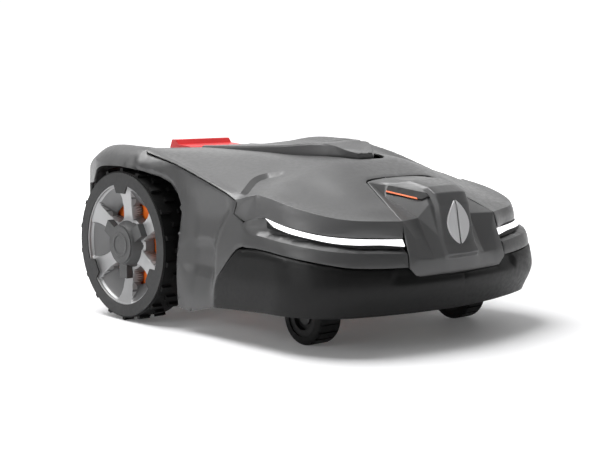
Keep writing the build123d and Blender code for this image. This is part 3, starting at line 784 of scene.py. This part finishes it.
# ---------------------------------------------------------------- headlights
# The strip stops short of its opening's edges and is set back from the wall.
LIGHT_TOP_GAP, LIGHT_LOW_GAP, LIGHT_SETBACK = 1.0, 1.8, 1.8
light_upper = [(87, -283, 136.6)] + [(x, y, z - LIGHT_TOP_GAP) for x, y, z in LIGHT_TOP[1:]]
light_lower = [(x, y, z + LIGHT_LOW_GAP) for x, y, z in LIGHT_LOW[:-1]] + [(199, -172, 151)]
light_outline = on_wall(path(light_upper, 5)) + on_wall(path(light_lower, 5))[::-1]
light_half = patch(light_outline, lambda u, z: wall(u, z, -LIGHT_SETBACK), 4.0)
lamp = panel("headlight_strips", mirrored(*light_half), 1.5, LAMP, bevel=0.4)
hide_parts("headlight_lenses")

# ---------------------------------------------------------------- hatch
# Rows of y, the flat middle's half width and height, and the wing crest's half width and height.
WING = [
    (-128, 6, 230.5, 13, 231), (-118, 14, 231.5, 25, 235), (-104, 22, 232.5, 34, 241),
    (-90, 28, 233, 41, 244), (-60, 36, 232.5, 48, 243), (-30, 39, 232, 51.5, 240),
    (30, 40, 231.5, 53, 237), (100, 42, 231.5, 52, 234), (160, 43, 231, 49, 231.5),
]
HATCH_FOOT = 223.0
HATCH_FRONT, HATCH_REAR = -128, 160
# The sections lie closer together towards the tip, where the wings begin.
HATCH_YS = [
    HATCH_FRONT, -126, -123, -119, -115, -110, -104, -98, -92, -86, -78, -70, -60, -50, -40, -25, -10, 10,
    35, 60, 85, 110, 135, HATCH_REAR,
]


def hatch_row(y):
    """A half section of the hatch: flat middle, then up to the wing's crest and down its side."""
    inner, floor_z, outer, crest = blend(WING, y)
    edge = outer + 1.0
    return [
        (0, y, floor_z), (inner * 0.5, y, floor_z), (inner * 0.85, y, floor_z + 0.2),
        (inner, y, floor_z + 0.8),
        (inner + (outer - inner) * 0.5, y, floor_z + (crest - floor_z) * 0.55),
        (outer - 2, y, crest - 0.5), (outer - 0.5, y, crest - 0.6), (edge, y, crest - 3),
        (edge + 0.4, y, (crest + HATCH_FOOT) / 2), (edge + 0.5, y, HATCH_FOOT),
    ]


first_row, last_row = hatch_row(HATCH_FRONT), hatch_row(HATCH_REAR)
hatch_top = grid([hatch_row(y) for y in HATCH_YS])
hatch_end = grid([last_row, [(x, HATCH_REAR + 1, HATCH_FOOT) for x, y, z in last_row]])
tip_row = [(x * 0.9, HATCH_FRONT - 1, min(z, HATCH_FOOT - 0.5)) for x, y, z in first_row]
hatch_tip = grid([tip_row, first_row])
hatch_half = joined(hatch_top, hatch_end, hatch_tip)
hatch = panel("hatch_cover", mirrored(*hatch_half), 2.5, HOOD, body="hatch", bevel=0.5, angle=22)
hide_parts("hatch")

# ---------------------------------------------------------------- nose details
VENT_TOP = [(41, -208, 194.5), (31.5, -268, 187.5)]
VENT_SIDE = [(47.5, -211, 184), (36.5, -276, 178)]


def slab(front, back):
    """A closed slab between two outlines with the same number of corners."""
    count = len(front)
    faces = [tuple(range(count)), tuple(range(2 * count - 1, count - 1, -1))]
    faces += [(i, (i + 1) % count, (i + 1) % count + count, i + count) for i in range(count)]
    return front + back, faces


def prism(corners, depth):
    """A slab from its front corners and the vector to its back."""
    return slab(corners, [tuple(a + b for a, b in zip(p, depth)) for p in corners])


def solid(name, mesh, material, body="shell", bevel=0.5):
    """A piece given by its whole surface, with softened edges."""
    obj = make_object(name, *mesh)
    finish_mesh(obj, 30)
    soften(obj, bevel)
    obj.data.materials.append(material)
    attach(obj, body)
    return obj


def toward(a, b, t):
    """The point part of the way from a to b."""
    return tuple(p + (q - p) * t for p, q in zip(a, b))


vent_corners = [
    VENT_TOP[0], toward(*VENT_TOP, 0.96), toward(VENT_TOP[1], VENT_SIDE[1], 0.4), toward(*VENT_SIDE, 0.8),
    VENT_SIDE[0],
]
vent_corners = [(x + 0.8, y - 2, z + 1.4) for x, y, z in vent_corners]
vents = solid("nose_vents_housing", mirrored(*prism(vent_corners, (-8, 2, -6))), BLACK, bevel=0.8)
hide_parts("nose_vents")
strip_corners = [
    toward(VENT_SIDE[0], VENT_TOP[0], 0.2), toward(*VENT_SIDE, 0.72),
    toward(toward(*VENT_SIDE, 0.72), toward(*VENT_TOP, 0.72), 0.2), toward(VENT_SIDE[0], VENT_TOP[0], 0.38),
]
strip_corners = [(x + 1.7, y - 2.3, z + 1.2) for x, y, z in strip_corners]
strips = solid("nose_vents_glow", mirrored(*prism(strip_corners, (-3, 1, -1))), ORANGE, bevel=0.2)
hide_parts("nose_vent_strips")

# The badge is a plain leaf in two halves, standing on the nose's face.
LEAF_LOW, LEAF_HIGH, LEAF_HALF = 125.0, 179.0, 18.0
# Half the vein between the leaf's halves, and how far the leaf's face and back stand off the nose.
VEIN_HALF = 1.4
LEAF_FACE, LEAF_BACK = 1.6, -1.5
LEAF_STEPS = 16
# The nose's front face, as z and y.
NOSE_FACE = [(115, -297), (125, -295.6), (136, -293.6), (155, -290.4), (174, -286.6), (186, -281)]


def face_point(x, z, out):
    """A point on the nose's front face."""
    return (x, blend(NOSE_FACE, z)[0] - out, z)


def leaf_half(sign):
    """One half of the leaf: a curved rim and a straight vein."""
    rim = []
    for i in range(LEAF_STEPS + 1):
        t = i / LEAF_STEPS
        z = LEAF_LOW + (LEAF_HIGH - LEAF_LOW) * t
        bulge = LEAF_HALF * math.sin(math.pi * t) ** 0.8 * (1.15 - 0.3 * t)
        rim.append((sign * (VEIN_HALF + bulge), z))
    vein = [(sign * VEIN_HALF, LEAF_HIGH - 6), (sign * VEIN_HALF, LEAF_LOW + 6)]
    outline = rim + vein
    return slab(*([face_point(x, z, out) for x, z in outline] for out in (LEAF_FACE, LEAF_BACK)))


badge = solid("nose_badge_leaf", joined(leaf_half(1), leaf_half(-1)), BADGE, bevel=0.5)
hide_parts("nose_badge")

# ---------------------------------------------------------------- drive wheels
SPOKES = 6
SPOKE_START = 30.0
# At several radii: a spoke's half width, and how deep its face and the pockets lie behind the wheel's face.
SPOKE_HALF = [(27, 14), (38, 11), (52, 10), (66, 11.5), (76, 15), (82, 19)]
SPOKE_DEPTH = [(27, 9), (40, 11), (58, 9), (72, 6), (79, 3), (82, 1.0)]
POCKET_DEPTH = [(27, 12), (36, 14), (39, 26), (52, 26), (60, 20), (70, 13), (79, 6), (82, 1.0)]
RIM_RADII = [27, 30, 34, 36, 38, 39, 41, 44, 47, 50, 53, 55, 57, 60, 63, 66, 69, 72, 75, 77, 79, 81, 82]
RIM_TURNS = 360
# The pockets are open through the rim between these radii, and carry painted shade, a darker grey than the
# spokes, between these.
OPEN_FROM, OPEN_TO = 39, 57
SHADE_FROM, SHADE_TO = 36, 79
RING_DEPTH = 3.5
# The rings on the wheel as inner radius, outer radius and the face's x: rim lip, orange disc and cap ring.
LIP_RING, GLOW_RING, CAP_RING = (80.5, 83.0, 220.8), (30.0, 78.0, 192.0), (13.0, 16.5, 224.4)


def spoke_share(radius, degrees):
    """1 on a spoke, 0 in a pocket between spokes."""
    sector = 360 / SPOKES
    off = abs((degrees - SPOKE_START + sector / 2) % sector - sector / 2)
    gap = math.radians(off) * radius
    half = blend(SPOKE_HALF, radius)[0]
    return 1 - step(half - 0.3, half + 1.8, gap)


def rim_depth(radius, degrees):
    """How far the rim's surface lies behind the wheel's face."""
    spoke = blend(SPOKE_DEPTH, radius)[0]
    pocket = blend(POCKET_DEPTH, radius)[0]
    return pocket + (spoke - pocket) * spoke_share(radius, degrees)


def rim_mesh():
    """The dished rim with six spokes, open where its pockets are deepest."""
    points = []
    for r in RIM_RADII:
        for i in range(RIM_TURNS):
            angle = 2 * math.pi * i / RIM_TURNS
            x = WHEEL_FACE - rim_depth(r, math.degrees(angle))
            points.append((x, WHEEL_Y - r * math.cos(angle), WHEEL_Z + r * math.sin(angle)))
    faces = []
    for j, (inner, outer) in enumerate(zip(RIM_RADII, RIM_RADII[1:])):
        r = (inner + outer) / 2
        here, there = j * RIM_TURNS, (j + 1) * RIM_TURNS
        for i in range(RIM_TURNS):
            k = (i + 1) % RIM_TURNS
            is_open = OPEN_FROM < r < OPEN_TO and spoke_share(r, 360 * (i + 0.5) / RIM_TURNS) < 0.02
            if not is_open:
                faces.append((here + i, here + k, there + k, there + i))
    return points, faces


def flipped(mesh, sign):
    """The mesh for the left side, or its mirror image for the right side."""
    points, faces = mesh
    if sign > 0:
        return points, faces
    return [(-x, y, z) for x, y, z in points], [tuple(reversed(f)) for f in faces]


def wheel_ring(inner, outer, x, turns=240):
    """A flat ring round the wheel's axis with its face at x, open at the back."""
    rows = []
    for r, depth in ((inner, RING_DEPTH), (inner, 0.0), (outer, 0.0), (outer, RING_DEPTH)):
        row = []
        for i in range(turns + 1):
            angle = math.radians(360.0 * i / turns)
            row.append((x - depth, WHEEL_Y - r * math.cos(angle), WHEEL_Z + r * math.sin(angle)))
        rows.append(row)
    return grid(rows)


for side, sign in (("left", 1), ("right", -1)):
    wheel_body = f"drive_wheel_{side}"
    rim = panel(
        f"wheel_rim_dish_{side}", flipped(rim_mesh(), sign), 2.0, RIM_PAINT, bevel=0.4, body=wheel_body,
        angle=22, facing=lambda centre, sign=sign: (sign, 0, 0),
    )
    # Pocket faces take the darker grey, painted shade standing in for the shading in the pockets.
    rim.data.materials.append(POCKET_SHADE)
    for face in rim.data.polygons:
        y, z = face.center.y / MM - WHEEL_Y, face.center.z / MM - WHEEL_Z
        radius, degrees = math.hypot(y, z), math.degrees(math.atan2(z, -y)) % 360
        if SHADE_FROM < radius < SHADE_TO and spoke_share(radius, degrees) < 0.6:
            face.material_index = 1
    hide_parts(f"wheel_rim_{side}")
    lip, glow, ring = (flipped(wheel_ring(*size), sign) for size in (LIP_RING, GLOW_RING, CAP_RING))
    solid(f"wheel_rim_lip_{side}", lip, RIM_PAINT, wheel_body, 0.6)
    disc = solid(f"wheel_disc_face_{side}", glow, ORANGE, wheel_body, 0.3)
    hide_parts(f"wheel_disc_{side}")
    solid(f"wheel_cap_ring_{side}", ring, CAP, wheel_body, 0.6)

# ---------------------------------------------------------------- carried-over nodes
LOOKS = {
    "stop_button": RED, "nose_badge": BADGE, "nose_vents": BLACK, "nose_vent_strips": ORANGE,
    "headlight_reflectors": BLACK, "chassis_screws": STEEL, "charging_contacts": BRASS, "main_board": BOARD,
    "jog_wheel": DARK_KEY, "start_button": DARK_KEY, "park_button": DARK_KEY, "cutting_disc": ORANGE,
    "blade_screws": STEEL, "height_screw": STEEL, "blade_1": STEEL, "blade_2": STEEL, "blade_3": STEEL,
}
SIDED = {
    "wheel_tyre": TYRE, "wheel_rim": RIM_PAINT, "wheel_trim": TRIM, "wheel_cap": CAP, "wheel_disc": ORANGE,
    "drive_shaft": STEEL, "drive_motor": STEEL, "caster_axle": TRIM, "caster_tyre": TYRE,
    "caster_hub": BLACK, "caster_fork": BLACK,
}
NODE_BEVELS = {"wheel_cap": 2.2, "wheel_trim": 1.2, "stop_button": 1.2}
for side in ("left", "right"):
    LOOKS.update({f"{node}_{side}": look for node, look in SIDED.items()})
for name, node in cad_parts.items():
    node.data.materials.clear()
    node.data.materials.append(LOOKS.get(name, BLACK))
    for face in node.data.polygons:
        face.material_index = 0
    for start, width in NODE_BEVELS.items():
        if name.startswith(start):
            soften(node, width, segments=3)

# ---------------------------------------------------------------- floor, light and camera
WHITE = (1, 1, 1, 1)
FLOOR = plastic("studio_floor", grey(0.86), grey(0.9), 0.6, grain=0.0, scale=2.0)
FLOOR_HALF = 9000
FLOOR_Z = -0.3


def smooth_range(tree, value, place, strength):
    """A strength that rises softly while a value crosses a range, both given as (start, end)."""
    fade = tree.nodes.new("ShaderNodeMapRange")
    fade.interpolation_type = "SMOOTHSTEP"
    fade.inputs["From Min"].default_value, fade.inputs["From Max"].default_value = place
    fade.inputs["To Min"].default_value, fade.inputs["To Max"].default_value = strength
    tree.links.new(value, fade.inputs["Value"])
    return fade.outputs["Result"]


floor_mesh = grid([[(x, y, FLOOR_Z) for x in (-FLOOR_HALF, FLOOR_HALF)] for y in (-FLOOR_HALF, FLOOR_HALF)])
floor = make_object("studio_floor", *floor_mesh)
floor.data.materials.append(FLOOR)
# The floor glows a little under the mower and brightens to plain white further off.
floor_tree = FLOOR.node_tree
floor_shader = floor_tree.nodes["Principled BSDF"]
far_off = floor_tree.nodes.new("ShaderNodeVectorMath")
far_off.operation = "LENGTH"
floor_tree.links.new(floor_tree.nodes["Texture Coordinate"].outputs["Object"], far_off.inputs[0])
floor_glow = smooth_range(floor_tree, far_off.outputs["Value"], (0.5, 1.6), (0.07, 0.9))
floor_tree.links.new(floor_glow, floor_shader.inputs["Emission Strength"])
floor_shader.inputs["Emission Color"].default_value = WHITE

# The studio is bright behind the mower, as the camera sees it, and dim on the camera's own side.
world = bpy.data.worlds.new("studio")
bpy.context.scene.world = world
world.use_nodes = True
sky = world.node_tree
BRIGHT_SIDE = (0.67, 0.74, 0.0)
background = sky.nodes["Background"]
direction = sky.nodes.new("ShaderNodeTexCoord")
behind = sky.nodes.new("ShaderNodeVectorMath")
behind.operation = "DOT_PRODUCT"
behind.inputs[1].default_value = BRIGHT_SIDE
sky.links.new(direction.outputs["Generated"], behind.inputs[0])
brightness = smooth_range(sky, behind.outputs["Value"], (0.1, 0.85), (0.14, 1.05))
sky.links.new(brightness, background.inputs["Strength"])
background.inputs["Color"].default_value = WHITE
bpy.context.scene.view_settings.view_transform = "Standard"


def area_light(name, place, aim, size, power):
    """A soft square lamp pointed at a place, in metres."""
    lamp_data = bpy.data.lights.new(name, "AREA")
    lamp_data.size = size
    lamp_data.energy = power
    light = bpy.data.objects.new(name, lamp_data)
    light.location = place
    light.rotation_euler = (Vector(aim) - Vector(place)).to_track_quat("-Z", "Y").to_euler()
    bpy.context.scene.collection.objects.link(light)


LIGHT_AIM = (0, 0, 0.1)
area_light("top", (-0.4, 0.5, 1.9), LIGHT_AIM, 1.5, 62)
area_light("left", (-2.2, -0.1, 0.9), LIGHT_AIM, 1.2, 14)

# The camera fitted to the photograph: where it stands, in metres, which way it looks, and its lens in mm.
CAMERA_PLACE = (-1.22307, -1.35513, 0.32922)
AZIMUTH, ELEVATION = math.radians(42.046), math.radians(6.41)
LENS = 78.44
camera_data = bpy.data.cameras.new("camera")
camera_data.sensor_width = 36
camera_data.lens = LENS
camera_data.clip_start = 0.05
camera_data.clip_end = 50
camera = bpy.data.objects.new("camera", camera_data)
camera.location = CAMERA_PLACE
level = math.cos(ELEVATION)
forward = Vector((math.sin(AZIMUTH) * level, math.cos(AZIMUTH) * level, -math.sin(ELEVATION)))
camera.rotation_mode = "QUATERNION"
camera.rotation_quaternion = forward.to_track_quat("-Z", "Y")
bpy.context.scene.collection.objects.link(camera)
bpy.context.scene.camera = camera
